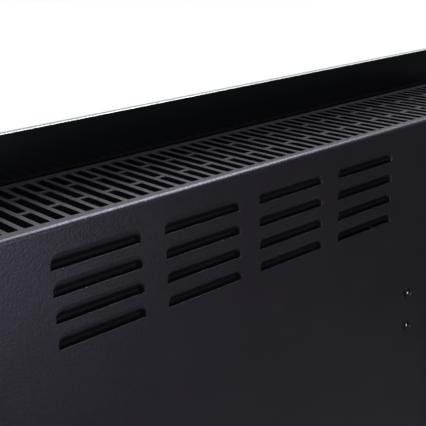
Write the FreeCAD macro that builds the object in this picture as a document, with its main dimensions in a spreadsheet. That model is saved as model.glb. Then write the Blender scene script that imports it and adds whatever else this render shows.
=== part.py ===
import FreeCAD, Part
import math
import os
import re

import Sketcher

from FreeCAD import Placement, Rotation, Vector

# Wall-mounted glass panel heater, in millimetres.
# +X runs along the heater, to the right of someone who faces its glass, +Y points into the wall, +Z is up.
# The origin lies on the wall, in the middle of the four keyholes that the heater hangs by.

SIZES = {
    # folded steel case
    "case_length": 700,
    "case_height": 340,
    "case_depth": 86,
    "sheet_thk": 1,
    "bend_radius": 3,
    "fit_gap": 0.2,
    # staggered slots of the outlet grille on top and the inlet grille below
    "slot_pitch": 9.42,
    "slot_width": 6.2,
    "slot_short": 20,
    "slot_bridge": 6.1,
    "slot_margin": 6.3,
    "slot_clip": 1.5,
    "inlet_pitch": 18.84,
    "inlet_width": 8,
    "grille_end": 26,
    # pressed louvres in the back
    "louvre_length": 60,
    "louvre_height": 9,
    "louvre_depth": 4,
    "louvre_slope": 6.8,
    "louvre_ease": 1.2,
    "louvre_side": 2,
    "louvre_corner": 6,
    "louvre_land_corner": 1,
    "louvre_edge": 0.1,
    "louvre_columns": 4,
    "louvre_rows": 4,
    "louvre_column_pitch": 76.67,
    "louvre_row_pitch": 15.48,
    "louvre_drop": 24.95,
    # glass, and the plate that carries it
    "glass_length": 760,
    "glass_height": 402.6,
    "glass_thk": 5,
    "glass_corner": 5,
    "glass_arris": 0.45,
    "bond_thk": 2,
    "bond_width": 12,
    "bond_inset": 24,
    "plate_lip": 6,
    "plate_flange": 16,
    "plate_screw_pitch": 200,
    # hangers that hold the case off the wall
    "wall_gap": 20,
    "hanger_reach": 270,
    "hanger_height": 270,
    "hanger_crown": 44,
    "hanger_flange": 14,
    "hanger_thk": 1.5,
    "hanger_bend": 3,
    "keyhole_rise": 110,
    "keyhole_radius": 6,
    "keyhole_neck": 6,
    "keyhole_slot": 13,
    # moulded end caps
    "cap_thk": 3,
    "cap_edge": 1.5,
    "skirt_depth": 12,
    "skirt_wall": 2.5,
    "boss_radius": 4,
    "boss_length": 10,
    "cap_screw_rise": 120,
    # pan head screws
    "screw_shank": 4,
    "screw_head": 8,
    "screw_head_height": 2.6,
    "screw_length": 9,
    "hole_gap": 0.15,
    # heating element and its brackets
    "element_drop": 153.2,
    "bracket_reach": 171,
    "bracket_screw_pitch": 28.4,
    "bracket_flange": 16,
    "bracket_thk": 1.2,
    "bracket_below": 34,
    "bracket_above": 64,
    "rod_radius": 4,
    "rod_overhang": 10,
    "stud_radius": 2,
    "stud_length": 12,
    "fin_hub": 7,
    "fin_reach": 26,
    "fin_thk": 2,
    "rib_width": 9,
    "rib_thk": 1.4,
    "rib_pitch": 5.5,
    "rib_count": 3,
    "bush_radius": 6.5,
    "bush_flange": 9,
    "bush_flange_thk": 2,
    "bush_nose": 4,
    # heat shield
    "shield_gap": 10,
    "shield_thk": 0.8,
    "shield_lip": 6,
    "shield_below": 44,
    "shield_above": 38,
    "rivet_rise": 26,
    "rivet_shank": 3.2,
    "rivet_head": 6,
    "rivet_head_height": 1.2,
    # over-temperature cut-out
    "cutout_rise": 50,
    "cutout_radius": 8,
    "cutout_height": 9,
    "cutout_ear": 17,
    "cutout_ear_width": 12,
    "cutout_screw_reach": 12.5,
    "cutout_screw_shank": 3,
    "cutout_screw_head": 5.5,
    "cutout_screw_head_height": 2,
    "cutout_screw_length": 5,
    "blade_width": 4.8,
    "blade_thk": 0.8,
    "blade_length": 8,
    # thermostat
    "thermostat_rise": 96,
    "thermostat_side": 32,
    "thermostat_depth": 24,
    "collar_radius": 5,
    "collar_length": 8,
    "spindle_radius": 3,
    "spindle_length": 19,
    "nut_radius": 8,
    "nut_thk": 3,
    "knob_radius": 19,
    "knob_top_radius": 16.5,
    "knob_height": 17,
    "knob_gap": 0.8,
    "knob_hollow": 10.5,
    "pointer_width": 2.4,
    "pointer_height": 1.2,
    "pointer_length": 13,
    "flute_count": 16,
    "flute_radius": 2.4,
    "flute_depth": 0.9,
    # rocker switches
    "switch_rise": 38,
    "switch_pitch": 34,
    "rocker_half": 8.3,
    "rocker_width": 10.4,
    "rocker_crown": 5.6,
    "rocker_valley": 4,
    "rocker_keel": 2,
    "rocker_tilt": 8,
    "rocker_side_gap": 0.4,
    "rocker_end_gap": 1.1,
    "trunnion_radius": 1.3,
    "housing_wall": 1.4,
    "housing_depth": 18,
    "bezel_width": 1.7,
    "bezel_thk": 2,
    "pivot_depth": 2.6,
    # indicator, terminal block and mains inlet
    "lens_rise": -26,
    "lens_radius": 4,
    "lens_flange": 5.5,
    "lens_flange_thk": 1.2,
    "lens_depth": 14,
    "terminal_rise": -72,
    "terminal_width": 44,
    "terminal_height": 22,
    "terminal_depth": 18,
    "terminal_ways": 3,
    "terminal_hole": 2.8,
    "gland_height": 40,
    "gland_radius": 8,
    "gland_flange": 12,
    "gland_flange_thk": 3,
    "gland_nose": 8,
    "gland_nose_radius": 5.76,
    "gland_inside": 12,
    "gland_bore": 3.6,
    "gland_nut_radius": 13,
    "gland_nut_thk": 5,
}

# Places that several pieces share, written in the words of the sheet.
BACK = "-wall_gap"
INNER = "-(wall_gap + sheet_thk)"
FRONT = "-(wall_gap + case_depth)"
MIDDLE = "-(wall_gap + case_depth / 2)"
END = "case_length / 2"
FACE = "(case_length / 2 + cap_thk)"
ELEMENT = "(case_height / 2 - element_drop)"
WEB = "(bracket_reach - bracket_flange / 2)"
BRACKET_DEPTH = "(case_depth - 2 * sheet_thk - shield_gap)"
CAVITY_HALF = "(rocker_half + rocker_end_gap)"
CAVITY_WIDTH = "(rocker_width + 2 * rocker_side_gap)"
HOUSING_HALF = "(rocker_half + rocker_end_gap + housing_wall)"
HOUSING_WIDTH = "(rocker_width + 2 * rocker_side_gap + 2 * housing_wall)"
PIVOT = "(case_length / 2 + cap_thk - pivot_depth)"

WORD = re.compile(r"[a-z][a-z_]+")
TURNS = {
    "x": Rotation(Vector(0, 1, 0), 90),
    "y": Rotation(Vector(1, 0, 0), -90),
    "z": Rotation(),
}

doc = FreeCAD.newDocument("PanelHeater")
sheet = doc.addObject("Spreadsheet::Sheet", "Sizes")
for row, (alias, size) in enumerate(SIZES.items(), start=1):
    sheet.set(f"A{row}", alias)
    sheet.set(f"B{row}", str(size))
    sheet.setAlias(f"B{row}", alias)
doc.recompute()

pieces = []


def mm(alias):
    """One driving size, as a number."""
    return float(sheet.get(alias))


def bind(thing, prop, formula):
    """Tie a property to a formula in the words of the sheet."""
    thing.setExpression(prop, WORD.sub(r"Sizes.\g<0>", formula))


def place(thing, corner):
    for axis, formula in zip("xyz", corner):
        bind(thing, f"Placement.Base.{axis}", formula)
    return thing


def box(name, corner, size):
    """Block from its lowest corner."""
    thing = doc.addObject("Part::Box", name)
    for prop, formula in zip(("Length", "Width", "Height"), size):
        bind(thing, prop, formula)
    return place(thing, corner)


def cylinder(name, axis, start, radius, length):
    """Round bar from the middle of its lower end, along one axis."""
    thing = doc.addObject("Part::Cylinder", name)
    thing.Placement = Placement(Vector(), TURNS[axis])
    bind(thing, "Radius", radius)
    bind(thing, "Height", length)
    return place(thing, start)


def cone(name, axis, start, radius, end_radius, length):
    thing = doc.addObject("Part::Cone", name)
    thing.Placement = Placement(Vector(), TURNS[axis])
    bind(thing, "Radius1", radius)
    bind(thing, "Radius2", end_radius)
    bind(thing, "Height", length)
    return place(thing, start)


def hexagon(name, start, radius, length):
    """Hexagonal bar along X."""
    thing = doc.addObject("Part::Prism", name)
    thing.Polygon = 6
    thing.Placement = Placement(Vector(), TURNS["x"])
    bind(thing, "Circumradius", radius)
    bind(thing, "Height", length)
    return place(thing, start)


def fuse(name, things):
    joined = doc.addObject("Part::MultiFuse", name)
    joined.Shapes = things
    joined.Refine = True
    return joined


def cut(name, base, tools):
    cutter = tools[0] if len(tools) == 1 else fuse(f"{name}_cutter", tools)
    result = doc.addObject("Part::Cut", name)
    result.Base = base
    result.Tool = cutter
    result.Refine = True
    return result


def near(one, other):
    return abs(one - other) < 1e-6


def along_x(edge):
    return near(edge.BoundBox.YLength, 0) and near(edge.BoundBox.ZLength, 0)


def along_z(edge):
    return near(edge.BoundBox.XLength, 0) and near(edge.BoundBox.YLength, 0)


def round_off(base, radius, chosen):
    """Round the edges of a block that the test picks."""
    doc.recompute()
    result = doc.addObject("Part::Fillet", f"{base.Name}Round")
    result.Base = base
    edges = enumerate(base.Shape.Edges, start=1)
    result.Edges = [(number, radius, radius) for number, edge in edges if chosen(edge)]
    return result


def group(name, things):
    """Separate solids that share one node."""
    several = doc.addObject("Part::Compound", name)
    several.Links = things
    return several


def feature(name, shape):
    thing = doc.addObject("Part::Feature", name)
    thing.Shape = shape
    return thing


def keep(thing, node):
    thing.Label = node
    pieces.append(thing)
    return thing


def span(sign, start, length):
    """Low X of a stretch that begins at start on the side that sign gives."""
    return start if sign > 0 else f"-({start} + {length})"


def folded_sheet():
    """Extruded U: the back with the top and bottom folded forward from it."""
    half = mm("case_height") / 2
    back = -mm("wall_gap")
    front = back - mm("case_depth")
    start = -mm("case_length") / 2

    def line(inset, radius):
        top = half - inset
        rear = back - inset
        turn = radius * (1 - math.sqrt(0.5))
        spot = [
            Vector(start, front, top),
            Vector(start, rear - radius, top),
            Vector(start, rear - turn, top - turn),
            Vector(start, rear, top - radius),
            Vector(start, rear, radius - top),
            Vector(start, rear - turn, turn - top),
            Vector(start, rear - radius, -top),
            Vector(start, front, -top),
        ]
        runs = [
            Part.LineSegment(spot[0], spot[1]),
            Part.Arc(spot[1], spot[2], spot[3]),
            Part.LineSegment(spot[3], spot[4]),
            Part.Arc(spot[4], spot[5], spot[6]),
            Part.LineSegment(spot[6], spot[7]),
        ]
        return [run.toShape() for run in runs], spot[0], spot[-1]

    outer, outer_first, outer_last = line(0, mm("bend_radius"))
    inner, inner_first, inner_last = line(mm("sheet_thk"), mm("bend_radius") - mm("sheet_thk"))
    ends = [Part.makeLine(outer_first, inner_first), Part.makeLine(outer_last, inner_last)]
    profile = Part.Wire(Part.sortEdges(outer + inner + ends)[0])
    return Part.Face(profile).extrude(Vector(mm("case_length"), 0, 0))


def slot(middle, rear, front, width, clip, low, height):
    """Upright prism of one slot, with clipped corners."""
    half = width / 2
    corners = [
        (-half, rear - clip),
        (-half + clip, rear),
        (half - clip, rear),
        (half, rear - clip),
        (half, front + clip),
        (half - clip, front),
        (-half + clip, front),
        (-half, front + clip),
    ]
    points = [Vector(middle + x, y, low) for x, y in corners]
    return Part.Face(Part.makePolygon(points + points[:1])).extrude(Vector(0, 0, height))


def grille(pitch, width, rear, front, low):
    """Staggered pairs of a short and a long slot, turned about in every second column."""
    short = mm("slot_short")
    bridge = mm("slot_bridge")
    reach = int((mm("case_length") / 2 - mm("grille_end")) / pitch)
    slots = []
    for column in range(-reach, reach + 1):
        split = rear - short if column % 2 else front + short + bridge
        for stretch in ((rear, split), (split - bridge, front)):
            slots.append(slot(column * pitch, *stretch, width, mm("slot_clip"), low, 3 * mm("sheet_thk")))
    return slots


def louvre_outline(share, depth, grow, middle, sill):
    """D shape in the plane of the back: straight sill, upright ends, rounded upper corners.

    Share runs from 0 at the rim of the pressing to 1 at its land.
    """
    half = mm("louvre_length") / 2 - share * mm("louvre_side") + grow
    crown = mm("louvre_height") - share * mm("louvre_slope") + grow
    radius = mm("louvre_corner") + share * (mm("louvre_land_corner") - mm("louvre_corner")) + grow
    turn = radius * (1 - math.sqrt(0.5))
    y = -mm("wall_gap") - depth

    def at(x, z):
        return Vector(middle + x, y, sill + z)

    runs = [
        Part.LineSegment(at(-half, 0), at(half, 0)),
        Part.LineSegment(at(half, 0), at(half, crown - radius)),
        Part.Arc(at(half, crown - radius), at(half - turn, crown - turn), at(half - radius, crown)),
        Part.LineSegment(at(half - radius, crown), at(radius - half, crown)),
        Part.Arc(at(radius - half, crown), at(turn - half, crown - turn), at(-half, crown - radius)),
        Part.LineSegment(at(-half, crown - radius), at(-half, 0)),
    ]
    return Part.Wire([run.toShape() for run in runs])


def louvre(middle, sill):
    """Metal and hollow of one louvre: the sheet bends in along an S, gently at first, to a narrow land.

    It is sheared along the sill, whose edge is broken.
    """
    thk = mm("sheet_thk")
    back = -mm("wall_gap")

    def ring(share, behind, grow):
        eased = share ** mm("louvre_ease")
        depth = mm("louvre_depth") * eased * eased * (3 - 2 * eased)
        return louvre_outline(share, depth + behind, grow, middle, sill)

    hollow = [ring(share, 0, 0) for share in (0, 0.33, 0.67, 1)]
    metal = [ring(share, thk, thk / 2) for share in (0, 0.25, 0.75, 1)]
    edge = mm("louvre_edge")
    half = mm("louvre_length") / 2
    corners = [(back, sill - edge), (back, sill), (back - edge, sill), (back, sill - edge)]
    broken = Part.makePolygon([Vector(middle - half, y, z) for y, z in corners])
    bevel = Part.Face(broken).extrude(Vector(2 * half, 0, 0))
    return Part.makeLoft(metal, True, True), [Part.makeLoft(hollow, True, False), bevel]


def plate_screw_spots():
    pitch = mm("plate_screw_pitch")
    return [step * pitch for step in (-1.5, -0.5, 0.5, 1.5)]


def rear_case():
    """Folded case: louvred back, slotted top and bottom, and holes for its screws."""
    half = mm("case_height") / 2
    back = -mm("wall_gap")
    front = back - mm("case_depth")
    margin = mm("slot_margin")
    thk = mm("sheet_thk")
    radius = mm("screw_shank") / 2 + mm("hole_gap")
    metal, hollows = [], []
    for column in range(int(mm("louvre_columns"))):
        for row in range(int(mm("louvre_rows"))):
            middle = (column - (mm("louvre_columns") - 1) / 2) * mm("louvre_column_pitch")
            sill = half - mm("louvre_drop") - row * mm("louvre_row_pitch")
            pan, hollow = louvre(middle, sill)
            metal.append(pan)
            hollows += hollow
    slots = grille(mm("slot_pitch"), mm("slot_width"), back - margin, front + margin, half - 2 * thk)
    inlet_front = front + mm("plate_flange") + margin
    slots += grille(mm("inlet_pitch"), mm("inlet_width"), back - margin, inlet_front, -half - thk)
    holes = []
    axis_z = half - mm("element_drop")
    for side in (-1, 1):
        for step in (-1, 1):
            bracket_z = axis_z + step * mm("bracket_screw_pitch") / 2
            bracket = Vector(side * mm("bracket_reach"), back + thk, bracket_z)
            boss_x = mm("case_length") / 2 - mm("skirt_depth") / 2
            boss = Vector(side * boss_x, back + thk, step * mm("cap_screw_rise"))
            holes += [Part.makeCylinder(radius, 3 * thk, spot, Vector(0, -1, 0)) for spot in (bracket, boss)]
    for x in plate_screw_spots():
        spot = Vector(x, front + mm("plate_flange") / 2, -half - thk)
        holes.append(Part.makeCylinder(radius, 3 * thk, spot, Vector(0, 0, 1)))
    shape = folded_sheet().fuse(metal).cut(Part.makeCompound(hollows + slots + holes))
    keep(feature("RearCase", shape.removeSplitter()), "rear_case")


def front_plate():
    """Shallow tray inside the case's mouth: a lip under the slotted top, a screwed flange on the bottom."""
    inside = "(case_height / 2 - sheet_thk - fit_gap)"
    flange_half = "(case_length / 2 - skirt_depth - 2 * fit_gap)"
    web = box(
        "PlateWeb",
        ("-case_length / 2 + fit_gap", FRONT, f"-{inside}"),
        ("case_length - 2 * fit_gap", "sheet_thk", f"2 * {inside}"),
    )
    lip = box(
        "PlateLip",
        (f"-{flange_half}", FRONT, f"{inside} - sheet_thk"),
        (f"2 * {flange_half}", "plate_lip", "sheet_thk"),
    )
    flange = box(
        "PlateFlange",
        (f"-{flange_half}", FRONT, f"-{inside}"),
        (f"2 * {flange_half}", "plate_flange", "sheet_thk"),
    )
    holes = []
    screws = []
    for step in (-1.5, -0.5, 0.5, 1.5):
        x = f"{step} * plate_screw_pitch"
        y = f"{FRONT} + plate_flange / 2"
        holes.append(
            cylinder(
                "PlateHole",
                "z",
                (x, y, f"-{inside} - sheet_thk"),
                "screw_shank / 2 + hole_gap",
                "3 * sheet_thk",
            )
        )
        screws.append(
            fuse(
                "PlateScrew",
                [
                    cylinder(
                        "PlateScrewHead",
                        "z",
                        (x, y, "-case_height / 2 - screw_head_height"),
                        "screw_head / 2",
                        "screw_head_height",
                    ),
                    cylinder(
                        "PlateScrewShank", "z", (x, y, "-case_height / 2"), "screw_shank / 2", "screw_length"
                    ),
                ],
            )
        )
    keep(cut("FrontPlate", fuse("PlateTray", [web, lip, flange]), holes), "front_plate")
    keep(group("FrontPlateScrews", screws), "front_plate_screws")


def plane(body, role):
    return next(item for item in body.Origin.OriginFeatures if item.Role == role)


def rectangle(sketch, width, height):
    """Rectangle centred on the sketch's origin, with both sides tied to the sheet."""
    spots = [Vector(-1, -1, 0), Vector(1, -1, 0), Vector(1, 1, 0), Vector(-1, 1, 0)]
    for index in range(4):
        sketch.addGeometry(Part.LineSegment(spots[index], spots[(index + 1) % 4]))
    for index in range(4):
        sketch.addConstraint(Sketcher.Constraint("Coincident", index, 2, (index + 1) % 4, 1))
    for index, direction in enumerate(("Horizontal", "Vertical", "Horizontal", "Vertical")):
        sketch.addConstraint(Sketcher.Constraint(direction, index))
    sketch.addConstraint(Sketcher.Constraint("Symmetric", 0, 1, 1, 2, -1, 1))
    for name, edge, formula in (("width", 0, width), ("height", 1, height)):
        place_of = sketch.addConstraint(Sketcher.Constraint("Distance", edge, 2.0))
        sketch.renameConstraint(place_of, name)
        bind(sketch, f"Constraints.{name}", formula)


def glass_panel():
    """Toughened glass sheet with rounded corners and polished arrises."""
    body = doc.addObject("PartDesign::Body", "GlassPanel")
    outline = body.newObject("Sketcher::SketchObject", "GlassOutline")
    outline.AttachmentSupport = (plane(body, "XZ_Plane"), [""])
    outline.MapMode = "FlatFace"
    rectangle(outline, "glass_length", "glass_height")
    pad = body.newObject("PartDesign::Pad", "GlassPad")
    pad.Profile = outline
    bind(pad, "Length", "glass_thk")
    doc.recompute()
    corners = body.newObject("PartDesign::Fillet", "GlassCorners")
    upright = [
        f"Edge{number}"
        for number, edge in enumerate(pad.Shape.Edges, start=1)
        if abs(edge.tangentAt(edge.FirstParameter).y) > 0.9
    ]
    corners.Base = (pad, upright)
    bind(corners, "Radius", "glass_corner")
    doc.recompute()
    arris = body.newObject("PartDesign::Chamfer", "GlassArris")
    rim = [
        f"Edge{number}"
        for number, edge in enumerate(corners.Shape.Edges, start=1)
        if edge.BoundBox.YLength < mm("glass_thk") / 2
    ]
    arris.Base = (corners, rim)
    bind(arris, "Size", "glass_arris")
    bind(body, "Placement.Base.y", f"{FRONT} - bond_thk")
    keep(body, "glass_panel")


def bond_strips():
    """Four strips of foam tape between glass and front plate."""
    half_length = "(case_length / 2 - bond_inset)"
    half_height = "(case_height / 2 - bond_inset)"
    upright = f"({half_height} - 2 * bond_width)"
    y = f"{FRONT} - bond_thk"
    level = (f"2 * {half_length}", "bond_thk", "bond_width")
    strips = [
        box("TopTape", (f"-{half_length}", y, f"{half_height} - bond_width"), level),
        box("BottomTape", (f"-{half_length}", y, f"-{half_height}"), level),
    ]
    for sign in (-1, 1):
        low = span(sign, f"({half_length} - bond_width)", "bond_width")
        strips.append(box("SideTape", (low, y, f"-{upright}"), ("bond_width", "bond_thk", f"2 * {upright}")))
    keep(group("GlassBondStrips", strips), "glass_bond_strips")


def wall_hanger(side, sign):
    """Hat section spot-welded to the back, with a keyhole for a wall screw near each end."""
    low = span(sign, "(hanger_reach - hanger_crown / 2)", "hanger_crown")
    height = ("-hanger_height / 2", "hanger_height")
    crown = box("HangerCrown", (low, BACK, height[0]), ("hanger_crown", "wall_gap", height[1]))
    channel = box(
        "HangerChannel",
        (f"{low} + hanger_thk", BACK, f"{height[0]} - hanger_thk"),
        ("hanger_crown - 2 * hanger_thk", "wall_gap - hanger_thk", f"{height[1]} + 2 * hanger_thk"),
    )
    flange_size = ("hanger_flange", "hanger_thk", height[1])
    flanges = [
        box("HangerFlange", (f"{low} - hanger_flange", BACK, height[0]), flange_size),
        box("HangerFlange", (f"{low} + hanger_crown", BACK, height[0]), flange_size),
    ]
    middle = f"{sign} * hanger_reach"
    start = "-2 * hanger_thk"
    through = "3 * hanger_thk"
    keyholes = []
    for step in (-1, 1):
        rise = f"{step} * keyhole_rise"
        top = f"{rise} + keyhole_slot"
        keyholes += [
            cylinder("KeyholeEntry", "y", (middle, start, rise), "keyhole_radius", through),
            box(
                "KeyholeSlot",
                (f"{middle} - keyhole_neck / 2", start, rise),
                ("keyhole_neck", through, "keyhole_slot"),
            ),
            cylinder("KeyholeTop", "y", (middle, start, top), "keyhole_neck / 2", through),
        ]
    hat = fuse("HangerHat", [cut("HangerSection", crown, [channel])] + flanges)
    bend = mm("hanger_bend")
    thk = mm("hanger_thk")
    bent = round_off(hat, bend, lambda edge: along_z(edge) and near(edge.Vertexes[0].Y, 0))
    folded = round_off(bent, bend - thk, lambda edge: along_z(edge) and near(edge.Vertexes[0].Y, -thk))
    keep(cut(f"{side.title()}WallHanger", folded, keyholes), f"{side}_wall_hanger")


def end_cap(side, sign, openings):
    """Moulded cap: an outer plate over the sheet's edges and a skirt with screw bosses inside the case."""
    plate = box(
        "CapPlate",
        (span(sign, END, "cap_thk"), FRONT, "-case_height / 2"),
        ("cap_thk", "case_depth", "case_height"),
    )
    outer = sign * (mm("case_length") / 2 + mm("cap_thk"))

    def on_outer_face(edge):
        return all(near(spot.X, outer) for spot in edge.Vertexes)

    rounded = round_off(plate, mm("cap_edge"), on_outer_face)
    skirt_y = f"{FRONT} + sheet_thk + fit_gap"
    skirt_depth_y = "(case_depth - 2 * sheet_thk - 2 * fit_gap)"
    skirt_z = "(case_height / 2 - sheet_thk - fit_gap)"
    low = span(sign, f"({END} - skirt_depth)", "skirt_depth")
    skirt = box("CapSkirt", (low, skirt_y, f"-{skirt_z}"), ("skirt_depth", skirt_depth_y, f"2 * {skirt_z}"))
    well = box(
        "CapWell",
        (low, f"{skirt_y} + skirt_wall", f"-{skirt_z} + skirt_wall"),
        ("skirt_depth", f"{skirt_depth_y} - 2 * skirt_wall", f"2 * {skirt_z} - 2 * skirt_wall"),
    )
    boss_x = f"{sign} * ({END} - skirt_depth / 2)"
    boss_start = f"{INNER} - fit_gap - skirt_wall / 2 - boss_length"
    bosses = []
    pilots = []
    for step in (-1, 1):
        rise = f"{step} * cap_screw_rise"
        bosses.append(cylinder("CapBoss", "y", (boss_x, boss_start, rise), "boss_radius", "boss_length"))
        pilots.append(
            cylinder(
                "CapPilot",
                "y",
                (boss_x, f"{boss_start} + sheet_thk", rise),
                "screw_shank / 2 + hole_gap",
                "boss_length + skirt_wall",
            )
        )
    rear = -(mm("wall_gap") + mm("sheet_thk") + mm("fit_gap"))

    def in_fold(edge):
        return along_x(edge) and near(edge.Vertexes[0].Y, rear)

    nested = round_off(skirt, mm("bend_radius"), in_fold)
    ring = cut("CapRing", nested, [well])
    whole = fuse("CapBlank", [rounded, ring] + bosses)
    keep(cut(f"{side.title()}EndCap", whole, pilots + openings), f"{side}_end_cap")


def pan_screw(x, z):
    """Pan head screw driven in from the back of the case."""
    head = cylinder("ScrewHead", "y", (x, BACK, z), "screw_head / 2", "screw_head_height")
    shank = cylinder("ScrewShank", "y", (x, f"{BACK} - screw_length", z), "screw_shank / 2", "screw_length")
    return fuse("PanScrew", [head, shank])


def case_screws():
    bracket_screws = []
    cap_screws = []
    for sign in (-1, 1):
        for step in (-1, 1):
            rise = f"{ELEMENT} + {step} * bracket_screw_pitch / 2"
            bracket_screws.append(pan_screw(f"{sign} * bracket_reach", rise))
            cap_screws.append(pan_screw(f"{sign} * ({END} - skirt_depth / 2)", f"{step} * cap_screw_rise"))
    keep(group("BracketScrews", bracket_screws), "bracket_screws")
    keep(group("EndCapScrews", cap_screws), "end_cap_screws")


def element_bracket(side, sign, more_holes):
    """Channel of folded steel, screwed to the back: the bush sits in its web, the shield on its front."""
    low_z = f"{ELEMENT} - bracket_below"
    tall = "bracket_below + bracket_above"
    low = span(sign, WEB, "bracket_flange")
    web_low = span(sign, WEB, "bracket_thk")
    nose = f"{INNER} - {BRACKET_DEPTH}"
    walls = [
        box("BracketBack", (low, f"{INNER} - bracket_thk", low_z), ("bracket_flange", "bracket_thk", tall)),
        box("BracketWeb", (web_low, nose, low_z), ("bracket_thk", BRACKET_DEPTH, tall)),
        box("BracketFront", (low, nose, low_z), ("bracket_flange", "bracket_thk", tall)),
    ]
    middle = f"{sign} * bracket_reach"
    holes = [
        cylinder(
            "BushHole",
            "x",
            (f"{web_low} - bracket_thk", MIDDLE, ELEMENT),
            "bush_radius + hole_gap",
            "3 * bracket_thk",
        )
    ]
    for step in (-1, 1):
        rise = f"{ELEMENT} + {step} * bracket_screw_pitch / 2"
        back_start = f"{INNER} - 2 * bracket_thk"
        holes.append(
            cylinder(
                "BracketHole",
                "y",
                (middle, back_start, rise),
                "screw_shank / 2 + hole_gap",
                "3 * bracket_thk",
            )
        )
        rivet_z = f"{ELEMENT} + {step} * rivet_rise"
        holes.append(
            cylinder(
                "RivetHole",
                "y",
                (middle, f"{nose} - bracket_thk", rivet_z),
                "rivet_shank / 2 + hole_gap",
                "3 * bracket_thk",
            )
        )
    body = fuse("BracketFold", walls)
    keep(cut(f"{side.title()}ElementBracket", body, holes + more_holes), f"{side}_element_bracket")


def element_bush(side, sign):
    """Flanged ceramic bush in the bracket's web."""
    flange_low = span(sign, f"({WEB} - bush_flange_thk)", "bush_flange_thk")
    length = "(bush_flange_thk + bracket_thk + bush_nose)"
    low = span(sign, f"({WEB} - bush_flange_thk)", length)
    flange = cylinder("BushFlange", "x", (flange_low, MIDDLE, ELEMENT), "bush_flange", "bush_flange_thk")
    barrel = cylinder("BushBarrel", "x", (low, MIDDLE, ELEMENT), "bush_radius", length)
    bore = cylinder("BushBore", "x", (low, MIDDLE, ELEMENT), "rod_radius + hole_gap", length)
    body = fuse("BushBody", [flange, barrel])
    keep(cut(f"{side.title()}ElementBush", body, [bore]), f"{side}_element_bush")


def heating_element():
    """X section of aluminium on a sheathed rod, with a stud at each end."""
    half = f"({WEB} - bush_flange_thk - fit_gap)"
    length = f"2 * {half}"
    arms = [cylinder("FinHub", "x", (f"-{half}", MIDDLE, ELEMENT), "fin_hub", length)]
    for quarter in range(4):
        turn = Rotation(Vector(1, 0, 0), 45 + 90 * quarter)
        arm = doc.addObject("Part::Box", "FinArm")
        ribs = []
        for number in range(int(mm("rib_count"))):
            rib = doc.addObject("Part::Box", "FinRib")
            bind(rib, "Length", length)
            bind(rib, "Width", "rib_thk")
            bind(rib, "Height", "rib_width")
            ribs.append((rib, f"(fin_reach - rib_thk - {number} * rib_pitch)", "-rib_width / 2"))
        bind(arm, "Length", length)
        bind(arm, "Width", "fin_reach")
        bind(arm, "Height", "fin_thk")
        across = turn.multVec(Vector(0, 1, 0))
        upward = turn.multVec(Vector(0, 0, 1))
        for thing, out, side in [(arm, "0", "-fin_thk / 2")] + ribs:
            thing.Placement = Placement(Vector(), turn)
            corner = (
                f"-{half}",
                f"{MIDDLE} + {across.y:.6f} * ({out}) + {upward.y:.6f} * ({side})",
                f"{ELEMENT} + {across.z:.6f} * ({out}) + {upward.z:.6f} * ({side})",
            )
            arms.append(place(thing, corner))
    bore = cylinder("FinBore", "x", (f"-{half}", MIDDLE, ELEMENT), "rod_radius + hole_gap", length)
    keep(cut("ElementFins", fuse("FinSection", arms), [bore]), "element_fins")
    rod_half = f"({WEB} + bracket_thk + rod_overhang)"
    rod = cylinder("HeatingRod", "x", (f"-{rod_half}", MIDDLE, ELEMENT), "rod_radius", f"2 * {rod_half}")
    keep(rod, "heating_rod")
    studs = []
    for sign in (-1, 1):
        low = span(sign, rod_half, "stud_length")
        studs.append(cylinder("RodStud", "x", (low, MIDDLE, ELEMENT), "stud_radius", "stud_length"))
    keep(group("ElementTerminals", studs), "element_terminals")


def heat_shield():
    """Bright sheet riveted to the brackets, with lips folded forward along its long edges."""
    half = "(bracket_reach + bracket_flange / 2)"
    y = f"{INNER} - {BRACKET_DEPTH} - shield_thk"
    low_z = f"{ELEMENT} - shield_below"
    tall = "(shield_below + shield_above)"
    width = f"2 * {half}"
    lip = (width, "shield_lip", "shield_thk")
    lip_y = f"{y} + shield_thk - shield_lip"
    walls = [
        box("ShieldSheet", (f"-{half}", y, low_z), (width, "shield_thk", tall)),
        box("ShieldLip", (f"-{half}", lip_y, low_z), lip),
        box("ShieldLip", (f"-{half}", lip_y, f"{low_z} + {tall} - shield_thk"), lip),
    ]
    holes = []
    rivets = []
    for sign in (-1, 1):
        for step in (-1, 1):
            x = f"{sign} * bracket_reach"
            z = f"{ELEMENT} + {step} * rivet_rise"
            radius = "rivet_shank / 2 + hole_gap"
            grip = "(shield_thk + bracket_thk)"
            holes.append(cylinder("ShieldHole", "y", (x, f"{y} - shield_thk", z), radius, "3 * shield_thk"))
            head_y = f"{y} - rivet_head_height"
            head = cylinder("RivetHead", "y", (x, head_y, z), "rivet_head / 2", "rivet_head_height")
            shank = cylinder("RivetShank", "y", (x, y, z), "rivet_shank / 2", grip)
            rivets.append(fuse("Rivet", [head, shank]))
    keep(cut("HeatShield", fuse("ShieldFold", walls), holes), "heat_shield")
    keep(group("ShieldRivets", rivets), "shield_rivets")


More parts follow.
